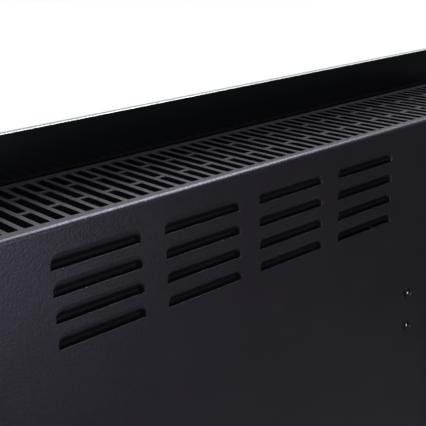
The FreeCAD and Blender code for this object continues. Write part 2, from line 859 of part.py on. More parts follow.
def thermal_cutout():
    """Bimetal disc switch on the right bracket. Returns the holes that its screws need in the bracket."""
    seat = f"({WEB} + bracket_thk)"
    z = f"{ELEMENT} + cutout_rise"
    ears = box(
        "CutoutEars",
        (seat, f"{MIDDLE} - cutout_ear", f"{z} - cutout_ear_width / 2"),
        ("bracket_thk", "2 * cutout_ear", "cutout_ear_width"),
    )
    can = cylinder("CutoutCan", "x", (seat, MIDDLE, z), "cutout_radius", "cutout_height")
    parts = [ears, can]
    ear_holes = []
    web_holes = []
    screws = []
    radius = "cutout_screw_shank / 2"
    for step in (-1, 1):
        blade_y = f"{MIDDLE} + {step} * cutout_radius / 2 - blade_thk / 2"
        parts.append(
            box(
                "CutoutBlade",
                (f"{seat} + cutout_height", blade_y, f"{z} - blade_width / 2"),
                ("blade_length", "blade_thk", "blade_width"),
            )
        )
        y = f"{MIDDLE} + {step} * cutout_screw_reach"
        start = (f"{seat} - 2 * bracket_thk", y, z)
        ear_holes.append(cylinder("EarHole", "x", start, f"{radius} + hole_gap", "4 * bracket_thk"))
        web_holes.append(cylinder("WebHole", "x", start, f"{radius} + hole_gap", "4 * bracket_thk"))
        under_head = f"{seat} + bracket_thk"
        head = cylinder(
            "CutoutScrewHead", "x", (under_head, y, z), "cutout_screw_head / 2", "cutout_screw_head_height"
        )
        tip = f"{under_head} - cutout_screw_length"
        shank = cylinder("CutoutScrewShank", "x", (tip, y, z), radius, "cutout_screw_length")
        screws.append(fuse("CutoutScrew", [head, shank]))
    keep(cut("ThermalCutout", fuse("CutoutBody", parts), ear_holes), "thermal_cutout")
    keep(group("CutoutScrews", screws), "cutout_screws")
    return web_holes


def thermostat():
    """Room thermostat behind the right cap, with its collar, nut, turning spindle and knob."""
    z = "thermostat_rise"
    side = "thermostat_side / 2"
    body = box(
        "ThermostatBody",
        (f"{END} - thermostat_depth", f"{MIDDLE} - {side}", f"{z} - {side}"),
        ("thermostat_depth", "thermostat_side", "thermostat_side"),
    )
    keep(body, "thermostat_body")
    collar = cylinder("CollarBar", "x", (END, MIDDLE, z), "collar_radius", "collar_length")
    collar_bore = cylinder("CollarBore", "x", (END, MIDDLE, z), "spindle_radius + fit_gap", "collar_length")
    keep(cut("ThermostatCollar", collar, [collar_bore]), "thermostat_collar")
    nut = hexagon("NutBar", (FACE, MIDDLE, z), "nut_radius", "nut_thk")
    nut_hole = cylinder("NutHole", "x", (FACE, MIDDLE, z), "collar_radius + hole_gap", "nut_thk")
    keep(cut("ThermostatNut", nut, [nut_hole]), "thermostat_nut")
    spindle = cylinder(
        "ThermostatSpindle",
        "x",
        (f"{END} + fit_gap", MIDDLE, z),
        "spindle_radius",
        "spindle_length - fit_gap",
    )
    keep(spindle, "thermostat_spindle")
    foot = f"({FACE} + knob_gap)"
    hollow = "(collar_length + knob_gap - cap_thk)"
    skirt = cone("KnobSkirt", "x", (foot, MIDDLE, z), "knob_radius", "knob_top_radius", "knob_height")
    pointer = box(
        "KnobPointer",
        (f"{foot} + knob_height", f"{MIDDLE} - pointer_width / 2", f"{z} + knob_top_radius - pointer_length"),
        ("pointer_height", "pointer_width", "pointer_length - pointer_height"),
    )
    well = cylinder("KnobWell", "x", (foot, MIDDLE, z), "knob_hollow", hollow)
    deep = f"{END} + spindle_length - {foot}"
    socket = cylinder("KnobSocket", "x", (foot, MIDDLE, z), "spindle_radius + hole_gap", deep)
    flutes = []
    count = int(mm("flute_count"))
    for number in range(count):
        angle = 2 * math.pi * (number + 0.5) / count
        reach = "(knob_top_radius + flute_radius - flute_depth)"
        spot = (foot, f"{MIDDLE} + {math.sin(angle):.6f} * {reach}", f"{z} + {math.cos(angle):.6f} * {reach}")
        flutes.append(cylinder("KnobFlute", "x", spot, "flute_radius", "knob_height"))
    moulding = fuse("KnobBody", [skirt, pointer])
    keep(cut("ThermostatKnob", moulding, [well, socket] + flutes), "thermostat_knob")
    hole = cylinder("CollarHole", "x", (END, MIDDLE, z), "collar_radius + hole_gap", "cap_thk")
    return [hole]


def rocker_shape():
    """Shallow V crown over a keel, on trunnions. It lies tilted to its off position."""
    half = mm("rocker_half")
    crown = mm("rocker_crown")
    keel = mm("rocker_keel")
    width = mm("rocker_width")
    shoulder = mm("rocker_valley") / 2
    outline = [
        (crown, half),
        (mm("rocker_valley"), 0),
        (crown, -half),
        (shoulder, -half),
        (-keel, -keel),
        (-keel, keel),
        (shoulder, half),
    ]
    points = [Vector(x, -width / 2, z) for x, z in outline]
    paddle = Part.Face(Part.makePolygon(points + points[:1])).extrude(Vector(0, width, 0))
    pin_half = width / 2 + mm("rocker_side_gap") + mm("housing_wall") - mm("fit_gap")
    pin = Part.makeCylinder(mm("trunnion_radius"), 2 * pin_half, Vector(0, -pin_half, 0), Vector(0, 1, 0))
    return paddle.fuse(pin).removeSplitter()


def rocker_switch(name, rise):
    """Two-position switch: housing with a bezel, and the rocker that tips in it. Returns its cut-out."""
    bezel_half = f"({HOUSING_HALF} + bezel_width)"
    bezel_side = f"({HOUSING_WIDTH} / 2 + bezel_width)"
    housing = box(
        "SwitchBody",
        (f"{FACE} - housing_depth", f"{MIDDLE} - {HOUSING_WIDTH} / 2", f"{rise} - {HOUSING_HALF}"),
        ("housing_depth", HOUSING_WIDTH, f"2 * {HOUSING_HALF}"),
    )
    bezel = box(
        "SwitchBezel",
        (FACE, f"{MIDDLE} - {bezel_side}", f"{rise} - {bezel_half}"),
        ("bezel_thk", f"2 * {bezel_side}", f"2 * {bezel_half}"),
    )
    floor = f"({PIVOT} - 2 * rocker_keel)"
    cavity = box(
        "SwitchCavity",
        (floor, f"{MIDDLE} - {CAVITY_WIDTH} / 2", f"{rise} - {CAVITY_HALF}"),
        (f"{FACE} + bezel_thk - {floor}", CAVITY_WIDTH, f"2 * {CAVITY_HALF}"),
    )
    bearing = cylinder(
        "SwitchBearing",
        "y",
        (PIVOT, f"{MIDDLE} - {HOUSING_WIDTH} / 2", rise),
        "trunnion_radius + hole_gap",
        HOUSING_WIDTH,
    )
    shell = cut(f"{name.title()}SwitchHousing", fuse("SwitchShell", [housing, bezel]), [cavity, bearing])
    keep(shell, f"{name}_switch_housing")
    rocker = feature(f"{name.title()}Rocker", rocker_shape())
    rocker.Placement = Placement(Vector(), Rotation(Vector(0, 1, 0), mm("rocker_tilt")))
    place(rocker, (PIVOT, MIDDLE, rise))
    keep(rocker, f"{name}_rocker")
    blades = [
        box(
            "SwitchBlade",
            (
                f"{FACE} - housing_depth - blade_length",
                f"{MIDDLE} - blade_width / 2",
                f"{rise} + {step} * rocker_half / 2 - blade_thk / 2",
            ),
            ("blade_length", "blade_width", "blade_thk"),
        )
        for step in (-1, 1)
    ]
    opening = box(
        "SwitchOpening",
        (END, f"{MIDDLE} - {HOUSING_WIDTH} / 2 - hole_gap", f"{rise} - {HOUSING_HALF} - hole_gap"),
        ("cap_thk", f"{HOUSING_WIDTH} + 2 * hole_gap", f"2 * {HOUSING_HALF} + 2 * hole_gap"),
    )
    return blades, opening


def indicator():
    """Lens of the neon lamp, pushed through the right cap."""
    z = "lens_rise"
    flange = cone("LensFlange", "x", (FACE, MIDDLE, z), "lens_flange", "lens_radius", "lens_flange_thk")
    barrel = cylinder("LensBarrel", "x", (f"{FACE} - lens_depth", MIDDLE, z), "lens_radius", "lens_depth")
    keep(fuse("IndicatorLens", [flange, barrel]), "indicator_lens")
    return [cylinder("LensHole", "x", (END, MIDDLE, z), "lens_radius + hole_gap", "cap_thk")]


def terminal_block():
    """Moulded connector block on the inner face of the right cap, one wire hole and one screw well a way."""
    low_y = f"{MIDDLE} - terminal_width / 2"
    low_z = "terminal_rise - terminal_height / 2"
    block = box(
        "TerminalBody",
        (f"{END} - terminal_depth", low_y, low_z),
        ("terminal_depth", "terminal_width", "terminal_height"),
    )
    wells = []
    ways = int(mm("terminal_ways"))
    for way in range(ways):
        y = f"{low_y} + terminal_width * {(way + 0.5) / ways:.6f}"
        x = f"{END} - terminal_depth / 2"
        wells.append(cylinder("WireHole", "z", (x, y, low_z), "terminal_hole", "terminal_height"))
        well = (f"{END} - terminal_depth", y, "terminal_rise")
        wells.append(cylinder("ScrewWell", "x", well, "terminal_hole", "terminal_depth / 2"))
    keep(cut("TerminalBlock", block, wells), "terminal_block")


def mains_inlet():
    """Cord gland through the right cap and the nut behind it."""
    z = "(gland_height - case_height / 2)"
    inside = f"({END} - gland_inside)"
    length = f"({FACE} + gland_flange_thk + gland_nose - {inside})"
    flange = cylinder("GlandFlange", "x", (FACE, MIDDLE, z), "gland_flange", "gland_flange_thk")
    barrel = cylinder("GlandBarrel", "x", (inside, MIDDLE, z), "gland_radius", "gland_inside + cap_thk")
    nose_start = (f"{FACE} + gland_flange_thk", MIDDLE, z)
    nose = cone("GlandNose", "x", nose_start, "gland_radius", "gland_nose_radius", "gland_nose")
    bore = cylinder("GlandBore", "x", (inside, MIDDLE, z), "gland_bore", length)
    keep(cut("CordGland", fuse("GlandBody", [flange, barrel, nose]), [bore]), "cord_gland")
    nut = hexagon("GlandNutBar", (f"{END} - gland_nut_thk", MIDDLE, z), "gland_nut_radius", "gland_nut_thk")
    hole = cylinder(
        "GlandNutHole", "x", (f"{END} - gland_nut_thk", MIDDLE, z), "gland_radius + hole_gap", "gland_nut_thk"
    )
    keep(cut("GlandNut", nut, [hole]), "gland_nut")
    return [cylinder("GlandHole", "x", (END, MIDDLE, z), "gland_radius + hole_gap", "cap_thk")]


def check(things):
    """Stop unless every object recomputed well and every piece is a valid shape."""
    for thing in doc.Objects:
        if {"Invalid", "Error"} & set(thing.State):
            raise RuntimeError(f"{thing.Label} did not recompute: {thing.State}")
    for thing in things:
        if thing.Shape.isNull() or not thing.Shape.isValid():
            raise RuntimeError(f"{thing.Label} has no valid shape")


def build():
    rear_case()
    front_plate()
    glass_panel()
    bond_strips()
    case_screws()
    for side, sign in (("left", -1), ("right", 1)):
        wall_hanger(side, sign)
        element_bush(side, sign)
    heating_element()
    heat_shield()
    element_bracket("left", -1, [])
    element_bracket("right", 1, thermal_cutout())
    openings = thermostat() + indicator() + mains_inlet()
    blades = []
    for name, rise in (("upper", "switch_rise"), ("lower", "(switch_rise - switch_pitch)")):
        switch_blades, opening = rocker_switch(name, rise)
        blades += switch_blades
        openings.append(opening)
    keep(group("SwitchTabs", blades), "switch_tabs")
    terminal_block()
    end_cap("left", -1, [])
    end_cap("right", 1, openings)
    doc.recompute()
    check(pieces)
    os.makedirs("parts", exist_ok=True)
    for thing in pieces:
        thing.Shape.exportStep(os.path.join("parts", f"{thing.Label}.step"))
    print(len(pieces), "pieces written")


build()
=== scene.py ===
import math

import bpy
import numpy as np
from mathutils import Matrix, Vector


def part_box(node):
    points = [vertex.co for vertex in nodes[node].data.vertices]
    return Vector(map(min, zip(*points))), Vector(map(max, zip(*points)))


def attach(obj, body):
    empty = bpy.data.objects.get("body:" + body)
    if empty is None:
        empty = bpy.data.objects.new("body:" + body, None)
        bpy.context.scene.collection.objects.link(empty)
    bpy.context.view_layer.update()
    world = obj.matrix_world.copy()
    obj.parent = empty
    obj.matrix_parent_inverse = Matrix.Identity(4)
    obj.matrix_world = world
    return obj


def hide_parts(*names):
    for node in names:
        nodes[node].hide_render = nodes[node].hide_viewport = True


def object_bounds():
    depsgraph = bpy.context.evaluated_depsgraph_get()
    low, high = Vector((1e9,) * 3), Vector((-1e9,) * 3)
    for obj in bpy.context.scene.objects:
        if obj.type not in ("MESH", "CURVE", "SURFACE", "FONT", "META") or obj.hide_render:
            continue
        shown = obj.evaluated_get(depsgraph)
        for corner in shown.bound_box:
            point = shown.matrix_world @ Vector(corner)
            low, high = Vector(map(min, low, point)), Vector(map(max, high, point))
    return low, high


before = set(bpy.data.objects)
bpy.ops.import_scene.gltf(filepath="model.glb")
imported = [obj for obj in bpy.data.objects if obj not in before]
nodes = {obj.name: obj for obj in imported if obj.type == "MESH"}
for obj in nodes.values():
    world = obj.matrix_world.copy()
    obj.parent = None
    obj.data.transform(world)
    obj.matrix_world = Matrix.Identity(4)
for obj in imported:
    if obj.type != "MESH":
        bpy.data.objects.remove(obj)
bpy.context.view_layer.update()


# Rear case: the back, top and bottom of the heater, one sheet of 1 mm mild steel.
# It is punched with slots, pressed into louvres, folded into a U and powder coated.
# The coat is a satin black with a fine grain and a faint violet cast.

case_low, case_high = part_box("rear_case")
case_front = case_low[1]
case_bottom = case_low[2]
case_back = case_high[1]
case_top = case_high[2]
sheet = 0.001
tolerance = 0.0002

louvre_tall = 0.009
louvre_half = 0.0301
louvre_drop = 0.02495
louvre_column_pitch = 0.07667
louvre_row_pitch = 0.01548
louvre_middles = louvre_column_pitch * (np.arange(4) - 1.5)
louvre_sills = case_top - louvre_drop - louvre_row_pitch * np.arange(4)
louvre_slope = 0.35

slot_pitch = 0.00942
slot_columns = 34
slot_width = 0.0062
slot_short = 0.020
slot_margin = 0.0063
slot_rear = slot_margin - case_back
slot_front = -case_front - slot_margin
wide_bridge = 0.0061
wide_clip = 0.0015
narrow_bridge = 0.0035
narrow_clip = 0.0008


def new_material(name):
    """An empty material, as (material, its node tree, its principled shader)."""
    material = bpy.data.materials.new(name)
    material.use_nodes = True
    tree = material.node_tree
    return material, tree, tree.nodes["Principled BSDF"]


def feed(tree, value, socket):
    """Joins a node's output to a socket, or sets a colour or a plain number on it."""
    if isinstance(value, bpy.types.NodeSocket):
        tree.links.new(value, socket)
    elif isinstance(value, tuple):
        socket.default_value = (*value, 1)
    else:
        socket.default_value = value


def speckle(tree, size, detail=2.0, stretch=(1, 1, 1)):
    """Noise in object coordinates, with features of about size metres that stretch draws out."""
    place = tree.nodes.new("ShaderNodeTexCoord")
    scale = tree.nodes.new("ShaderNodeMapping")
    scale.inputs["Scale"].default_value = [1 / factor for factor in stretch]
    noise = tree.nodes.new("ShaderNodeTexNoise")
    noise.inputs["Scale"].default_value = 1 / size
    noise.inputs["Detail"].default_value = detail
    feed(tree, place.outputs["Object"], scale.inputs["Vector"])
    feed(tree, scale.outputs["Vector"], noise.inputs["Vector"])
    return noise.outputs["Fac"]


def between(tree, value, low, high, out_low, out_high):
    """Maps value from low..high to out_low..out_high, held at the ends."""
    ramp = tree.nodes.new("ShaderNodeMapRange")
    ramp.inputs["From Min"].default_value = low
    ramp.inputs["From Max"].default_value = high
    ramp.inputs["To Min"].default_value = out_low
    ramp.inputs["To Max"].default_value = out_high
    feed(tree, value, ramp.inputs["Value"])
    return ramp.outputs["Result"]


def blended(tree, factor, first, second):
    """One colour fading into another as factor goes from 0 to 1."""
    mix = tree.nodes.new("ShaderNodeMix")
    mix.data_type = "RGBA"
    feed(tree, first, mix.inputs["A"])
    feed(tree, second, mix.inputs["B"])
    feed(tree, factor, mix.inputs["Factor"])
    return mix.outputs["Result"]


def raised(tree, shader, height, depth):
    """Bump of the given depth in metres."""
    bump = tree.nodes.new("ShaderNodeBump")
    bump.inputs["Strength"].default_value = 1.0
    bump.inputs["Distance"].default_value = depth
    feed(tree, height, bump.inputs["Height"])
    feed(tree, bump.outputs["Normal"], shader.inputs["Normal"])


def grained(name, dark, pale, grain, depth, rough, metal=0.0, stretch=(1, 1, 1), tint=(1, 1, 1), gloss=0.5):
    """A finish that drifts from dark to pale in patches, with a fine grain in its gloss and height.

    grain and depth are the grain's width and height in metres, and rough is the range of its roughness.
    The noise lies mostly between 0.3 and 0.7.
    """
    patch = 30 * grain
    material, tree, shader = new_material(name)
    drift = between(tree, speckle(tree, patch), 0.35, 0.65, 0.0, 1.0)
    fine = speckle(tree, grain, 3.0, stretch)
    feed(tree, blended(tree, drift, dark, pale), shader.inputs["Base Color"])
    feed(tree, between(tree, fine, 0.3, 0.7, *rough), shader.inputs["Roughness"])
    raised(tree, shader, fine, depth)
    shader.inputs["Metallic"].default_value = metal
    shader.inputs["Specular Tint"].default_value = (*tint, 1)
    shader.inputs["Specular IOR Level"].default_value = gloss
    return material


def wear(material, *names):
    """Gives the solids of the named nodes their finish."""
    for name in names:
        nodes[name].data.materials.clear()
        nodes[name].data.materials.append(material)


def read(items, name, width, kind=float):
    """One property of all of a mesh's items, as an array with width columns."""
    values = np.empty(len(items) * width, kind)
    items.foreach_get(name, values)
    return values.reshape(-1, width)


def sloped_louvres(points, normals, corner):
    """Points and corner normals of the case with evenly sloping louvres and sheared sills.

    With q the share of a louvre's height below its crown, each depth is multiplied by w, q to the power of
    louvre_slope, so the sheet leaves the back gently and slopes all the way to its open edge. A normal
    (x, y, z) there turns to (w x, y, w z - k y), where k is the depth times the rate at which w grows. A sill
    slopes down from its outer edge at 45 degrees.
    """
    facing = np.bincount(corner, normals[:, 1], len(points))
    aside = np.abs(points[:, :1] - louvre_middles).min(1)
    above = points[:, 2:] - louvre_sills
    rise = np.where(above > -tolerance, above, 1.0).min(1)
    inward = case_back - points[:, 1]
    pressed = (aside < louvre_half + sheet) & (rise < louvre_tall + sheet)
    depth = pressed * np.clip(inward - sheet * (facing < 0), 0, None)
    q = np.clip(1 - rise / louvre_tall, 0, 1)
    w = q ** louvre_slope
    k = depth * louvre_slope * np.maximum(q, 0.01) ** (louvre_slope - 1) / louvre_tall
    sill = (aside < louvre_half) & (np.abs(rise) < tolerance) & (inward < sheet + tolerance)
    moved = points.copy()
    moved[:, 1] += depth * (1 - w)
    moved[:, 2] -= sill * inward
    x, y, z = normals.T
    bent = np.stack([w[corner] * x, y, w[corner] * z - k[corner] * y], -1)
    bent /= np.maximum(np.linalg.norm(bent, axis=1, keepdims=True), 1e-9)
    turned = np.where((depth > 0)[corner, None], bent, normals)
    turned[sill[corner] & (z > 0.9)] = (0, -math.sqrt(0.5), math.sqrt(0.5))
    return moved, turned


def slot_ends(bridge, clip):
    """Along an even column: the ends of its long and short slot, and where their corners are clipped."""
    middle = slot_front - slot_short - wide_bridge / 2
    ends = np.array([slot_rear, middle - bridge / 2, middle + bridge / 2, slot_front])
    clipped = ends + clip * np.array([1, -1, 1, -1])
    return np.sort(np.concatenate([ends, clipped]))


def slot_sides(clip):
    """Across a column: its borders, the sides of its slots and where their corners are clipped."""
    half = slot_width / 2
    return np.array([-slot_pitch / 2, -half, clip - half, half - clip, half, slot_pitch / 2])


def squarer_slots(points):
    """Points of the case with a narrow bridge between the two slots of each column, and squarer corners.

    Straight lines of points slide along and across the slots of the top grille, from the wide ends and sides
    to the narrow ones. An odd column is an even one turned about.
    """
    x, y, z = points.T
    column = np.rint(x / slot_pitch)
    v = -y
    turned = slot_rear + slot_front
    wide = slot_ends(wide_bridge, wide_clip)
    narrow = slot_ends(narrow_bridge, narrow_clip)
    even = np.interp(v, wide, narrow)
    odd = turned - np.interp(turned - v, wide, narrow)
    along = np.where(column % 2 == 0, even, odd)
    across = np.interp(x - column * slot_pitch, slot_sides(wide_clip), slot_sides(narrow_clip))
    on_top = (z > case_top - sheet - tolerance) & (np.abs(column) <= slot_columns)
    slotted = on_top & (v > slot_rear - tolerance) & (v < slot_front + tolerance)
    moved = points.copy()
    moved[:, 0] = np.where(slotted, column * slot_pitch + across, x)
    moved[:, 1] = np.where(slotted, -along, y)
    return moved


def pressed_case():
    """The folded sheet with its louvres pressed to an even slope and its slots punched square."""
    mesh = nodes["rear_case"].data.copy()
    points = read(mesh.vertices, "co", 3)
    normals = read(mesh.corner_normals, "vector", 3)
    corner = read(mesh.loops, "vertex_index", 1, np.int32)[:, 0]
    points, normals = sloped_louvres(points, normals, corner)
    points = squarer_slots(points)
    mesh.vertices.foreach_set("co", points.ravel())
    mesh.update()
    mesh.normals_split_custom_set(normals.tolist())
    piece = bpy.data.objects.new("pressed_case", mesh)
    bpy.context.scene.collection.objects.link(piece)
    return piece


powder_coat = grained(
    "satin_powder_coat",
    dark=(0.0042, 0.0036, 0.0056),
    pale=(0.0062, 0.0054, 0.0080),
    grain=0.0012,
    depth=0.00016,
    rough=(0.32, 0.40),
    tint=(0.80, 0.75, 1.0),
)
case = pressed_case()
case.data.materials.clear()
case.data.materials.append(powder_coat)
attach(case, "heater")
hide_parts("rear_case")


# Wall hangers: two hat sections bent from 1.5 mm steel, with keyholes for the screws in the wall.
# They are spot-welded to the back of the case and powder coated with it.

wear(powder_coat, "left_wall_hanger", "right_wall_hanger")


# Front plate: a shallow tray of steel sheet that closes the mouth of the case and carries the glass.
# It is powder coated as the case is, and screwed to it from below.

wear(powder_coat, "front_plate")


# Glass front: one pane of toughened glass, 5 mm thick, with black enamel fired on its back.
# Its edges are ground grey, and their polished arrises carry a painted pale highlight.
# Black foam tape bonds it to the front plate.

def separated(tree, vector):
    """The X, Y and Z outputs of a vector."""
    split = tree.nodes.new("ShaderNodeSeparateXYZ")
    feed(tree, vector, split.inputs["Vector"])
    return split.outputs


def computed(tree, operation, *values):
    """The result of one arithmetic operation on outputs of nodes and plain numbers."""
    node = tree.nodes.new("ShaderNodeMath")
    node.operation = operation
    for value, socket in zip(values, node.inputs):
        feed(tree, value, socket)
    return node.outputs["Value"]


def enamelled_glass():
    """Gloss on the front, satin enamel on the back, and a ground edge between two polished arrises.

    The surface's normal tells them apart: it is along Y on both faces, slanted on the arrises and square to Y
    on the edge. The pale colour on the arrises is a painted highlight.
    """
    ground_grey = (0.08, 0.10, 0.095)
    arris_painted_highlight = (0.45, 0.48, 0.47)
    # painted highlight: the arrises are coloured pale where light would glint on them
    enamel_black = (0.0012, 0.0015, 0.0022)
    dust_size = 0.004
    satin = (0.17, 0.20)
    polish = -0.14
    material, tree, shader = new_material("black_glass")
    facing = tree.nodes.new("ShaderNodeNewGeometry")
    along_y = separated(tree, facing.outputs["Normal"])["Y"]
    flat = computed(tree, "ABSOLUTE", along_y)
    arris = between(tree, flat, 0.3, 0.6, 0.0, 1.0)
    face = between(tree, flat, 0.8, 0.98, 0.0, 1.0)
    front = between(tree, along_y, -0.98, -0.8, 1.0, 0.0)
    # painted highlight: the normal picks out the arrises and colours them pale
    edge = blended(tree, arris, ground_grey, arris_painted_highlight)
    feed(tree, blended(tree, face, edge, enamel_black), shader.inputs["Base Color"])
    dust = between(tree, speckle(tree, dust_size, 4.0), 0.3, 0.7, *satin)
    feed(tree, computed(tree, "MULTIPLY_ADD", front, polish, dust), shader.inputs["Roughness"])
    shader.inputs["Specular IOR Level"].default_value = 0.25
    return material


foam_tape = grained(
    "black_foam_tape",
    dark=(0.008, 0.008, 0.008),
    pale=(0.014, 0.014, 0.014),
    grain=0.0006,
    depth=0.0001,
    rough=(0.85, 0.95),
)
wear(enamelled_glass(), "glass_panel")
wear(foam_tape, "glass_bond_strips")


# Heating element: an extruded aluminium cross with ribbed arms, anodised black, on a sheathed steel rod.
# Ceramic bushes carry the rod in two powder coated steel brackets, and brass studs stand at its ends.

black_anodised = grained(
    "black_anodised",
    dark=(0.010, 0.010, 0.011),
    pale=(0.016, 0.016, 0.017),
    grain=0.0008,
    depth=0.00002,
    rough=(0.5, 0.65),
    stretch=(40, 1, 1),
    gloss=0.15,
)
tinted_steel = grained(
    "tinted_steel",
    dark=(0.20, 0.17, 0.15),
    pale=(0.36, 0.33, 0.30),
    grain=0.0012,
    depth=0.00002,
    rough=(0.3, 0.45),
    metal=1.0,
)
ceramic = grained(
    "unglazed_ceramic",
    dark=(0.70, 0.68, 0.63),
    pale=(0.78, 0.76, 0.72),
    grain=0.0005,
    depth=0.00004,
    rough=(0.6, 0.75),
)
brass = grained(
    "brass",
    dark=(0.62, 0.44, 0.17),
    pale=(0.74, 0.56, 0.26),
    grain=0.0008,
    depth=0.00001,
    rough=(0.22, 0.34),
    metal=1.0,
)
wear(black_anodised, "element_fins")
wear(tinted_steel, "heating_rod")
wear(ceramic, "left_element_bush", "right_element_bush")
wear(brass, "element_terminals")
wear(powder_coat, "left_element_bracket", "right_element_bracket")


# Heat shield: a steel sheet in dull stove black between the element and the front plate.
# Its long edges are folded into lips, and rivets hold it to the element brackets.

stove_black = grained(
    "stove_black",
    dark=(0.0010, 0.0010, 0.0010),
    pale=(0.0022, 0.0022, 0.0022),
    grain=0.0008,
    depth=0.00003,
    rough=(0.6, 0.75),
    gloss=0.02,
)
wear(stove_black, "heat_shield", "shield_rivets")


# Over-temperature cut-out: a switch in a brown phenolic can with two ears.
# Two galvanised screws hold its ears to the right element bracket.

def galvanised_sheet():
    """Zinc coat whose crystals each have a tone and a gloss of their own."""
    crystal = 0.00625
    dark = (0.42, 0.43, 0.44)
    pale = (0.60, 0.61, 0.62)
    rough = (0.35, 0.55)
    material, tree, shader = new_material("galvanised_sheet")
    place = tree.nodes.new("ShaderNodeTexCoord")
    cells = tree.nodes.new("ShaderNodeTexVoronoi")
    cells.inputs["Scale"].default_value = 1 / crystal
    feed(tree, place.outputs["Object"], cells.inputs["Vector"])
    tone = separated(tree, cells.outputs["Color"])
    feed(tree, blended(tree, tone["X"], dark, pale), shader.inputs["Base Color"])
    feed(tree, between(tree, tone["Y"], 0.0, 1.0, *rough), shader.inputs["Roughness"])
    shader.inputs["Metallic"].default_value = 1.0
    return material


phenolic = grained(
    "phenolic",
    dark=(0.045, 0.030, 0.022),
    pale=(0.065, 0.045, 0.034),
    grain=0.0008,
    depth=0.00003,
    rough=(0.4, 0.55),
)
galvanised = galvanised_sheet()
wear(phenolic, "thermal_cutout")
wear(galvanised, "cutout_screws")


# Thermostat: a phenolic body behind the right cap, held by a brass collar and a galvanised nut.
# A knob turns its spindle. The knob is a fluted black moulding with a white line on its raised pointer.

def lined_knob():
    """Grained black moulding that turns white on top of the pointer bar."""
    line_white = (0.72, 0.72, 0.70)
    line_deep = 0.0003
    line_fade = 0.0001
    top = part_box("thermostat_knob")[1][0]
    material = grained(
        "lined_knob",
        dark=(0.010, 0.0098, 0.011),
        pale=(0.014, 0.0138, 0.015),
        grain=0.0007,
        depth=0.00006,
        rough=(0.42, 0.52),
    )
    tree = material.node_tree
    colour = tree.nodes["Principled BSDF"].inputs["Base Color"]
    black = colour.links[0].from_socket
    place = tree.nodes.new("ShaderNodeTexCoord")
    outward = separated(tree, place.outputs["Object"])["X"]
    on_top = between(tree, outward, top - line_deep - line_fade, top - line_deep, 0.0, 1.0)
    feed(tree, blended(tree, on_top, black, line_white), colour)
    return material


wear(phenolic, "thermostat_body")
wear(brass, "thermostat_collar")
wear(galvanised, "thermostat_nut", "thermostat_spindle")
wear(lined_knob(), "thermostat_knob")


# Rocker switches: gloss black housings snapped into the right cap, each with a rocker on trunnions.
# Brass tabs stand out of their backs.

gloss_black = grained(
    "gloss_moulding",
    dark=(0.006, 0.006, 0.007),
    pale=(0.009, 0.009, 0.010),
    grain=0.0015,
    depth=0.00001,
    rough=(0.12, 0.2),
)
wear(gloss_black, "upper_switch_housing", "lower_switch_housing", "upper_rocker", "lower_rocker")
wear(brass, "switch_tabs")


# Indicator: a small moulded lens of clear amber plastic over a neon lamp.
# It is pushed into the right cap.

def amber_lens():
    """Clear amber plastic with faint streaks from the mould."""
    amber_dark = (0.75, 0.16, 0.02)
    amber_pale = (0.85, 0.24, 0.04)
    streak_size = 0.001
    streak_stretch = (6, 1, 1)
    material, tree, shader = new_material("amber_lens")
    streak = speckle(tree, streak_size, 2.0, streak_stretch)
    feed(tree, blended(tree, streak, amber_dark, amber_pale), shader.inputs["Base Color"])
    shader.inputs["Roughness"].default_value = 0.12
    shader.inputs["Transmission Weight"].default_value = 0.6
    shader.inputs["IOR"].default_value = 1.49
    return material


wear(amber_lens(), "indicator_lens")


# Terminal block: an ivory polyamide moulding with screw wells for the mains wires.
# It is fixed behind the right cap.

polyamide = grained(
    "ivory_polyamide",
    dark=(0.62, 0.60, 0.52),
    pale=(0.70, 0.68, 0.60),
    grain=0.0008,
    depth=0.00002,
    rough=(0.35, 0.5),
)
wear(polyamide, "terminal_block")


# Mains inlet: a black nylon gland through the right cap, with a bore for the cord.
# A nut of the same nylon holds it from inside.

black_nylon = grained(
    "black_nylon",
    dark=(0.009, 0.009, 0.010),
    pale=(0.013, 0.013, 0.014),
    grain=0.0009,
    depth=0.00003,
    rough=(0.35, 0.45),
)
wear(black_nylon, "cord_gland", "gland_nut")


# End caps: black plastic mouldings with a spark-eroded grain, which close the ends of the folded case.
# Their skirts go into the case and are screwed to its back.

cap_moulding = grained(
    "grained_moulding",
    dark=(0.0075, 0.007, 0.0085),
    pale=(0.0105, 0.010, 0.0115),
    grain=0.0007,
    depth=0.00006,
    rough=(0.4, 0.5),
)
wear(cap_moulding, "left_end_cap", "right_end_cap")


# Screws: M4 steel pan heads with a cross recess, in gloss black zinc.
# Two pairs hold the element brackets and two pairs the end caps, through the back.
# Four run up through the bottom of the case and hold the front plate.

